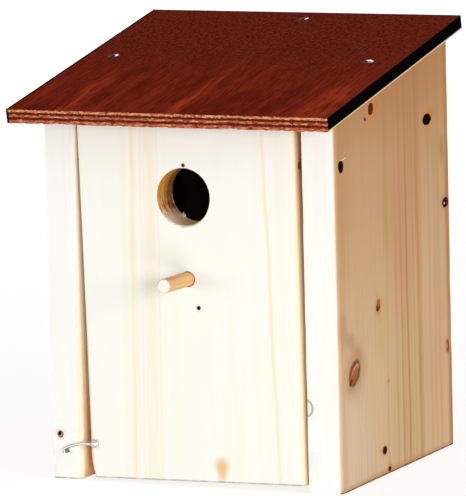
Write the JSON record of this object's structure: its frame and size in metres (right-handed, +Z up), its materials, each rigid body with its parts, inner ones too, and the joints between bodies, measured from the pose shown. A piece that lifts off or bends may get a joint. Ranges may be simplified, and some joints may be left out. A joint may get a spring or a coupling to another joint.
{
  "type": "nest box",
  "caption": "Wooden bird nest box with a round entry hole, a perch, a sloping plywood roof and a front that swings up on pivot screws, held by a small wire hook.",
  "frame": {"origin": "middle of the floor's underside, on the ground", "axes": "+X to the right as seen from the front, +Y to the back, +Z up; the entry hole faces -Y"},
  "size_m": [0.192, 0.197, 0.2466],
  "materials": {
    "pine_board": "bare planed pine with streaky grain and knots",
    "pale_front_board": "bare pale pine, smooth",
    "stained_plywood": "dark red-brown stain on thin plywood, layers showing at the edges",
    "dowel": "smooth bare dowel",
    "zinc_screw": "dull zinc plate",
    "bright_wire": "bright plated wire",
    "rusty_nail": "dull iron with a little rust"
  },
  "bodies": {
    "box": {"left_wall": "pine_board", "right_wall": "pine_board", "back_wall": "pine_board", "floor_board": "pine_board", "roof_panel": "stained_plywood", "catch_pin": "bright_wire", "left_roof_screw": "zinc_screw", "right_roof_screw": "zinc_screw", "back_roof_screw": "zinc_screw", "left_upper_nail": "rusty_nail", "left_lower_nail": "rusty_nail", "left_floor_nail": "rusty_nail", "right_upper_nail": "rusty_nail", "right_lower_nail": "rusty_nail", "right_floor_nail": "rusty_nail"},
    "door": {"front_door": "pale_front_board", "perch": "dowel", "left_pivot_screw": "zinc_screw", "right_pivot_screw": "zinc_screw", "hook_pin": "bright_wire"},
    "hook": {"hook_wire": "bright_wire"}
  },
  "joints": [
    {"name": "door_swing", "type": "hinge", "parent": "box", "child": "door", "pos_m": [0, -0.074, 0.1795], "axis": [-1, 0, 0], "range_deg": [0, 90]},
    {"name": "hook_swing", "type": "hinge", "parent": "door", "child": "hook", "pos_m": [-0.06169, -0.0821, 0.02075], "axis": [0, 1, 0], "range_deg": [0, 100]}
  ]
}
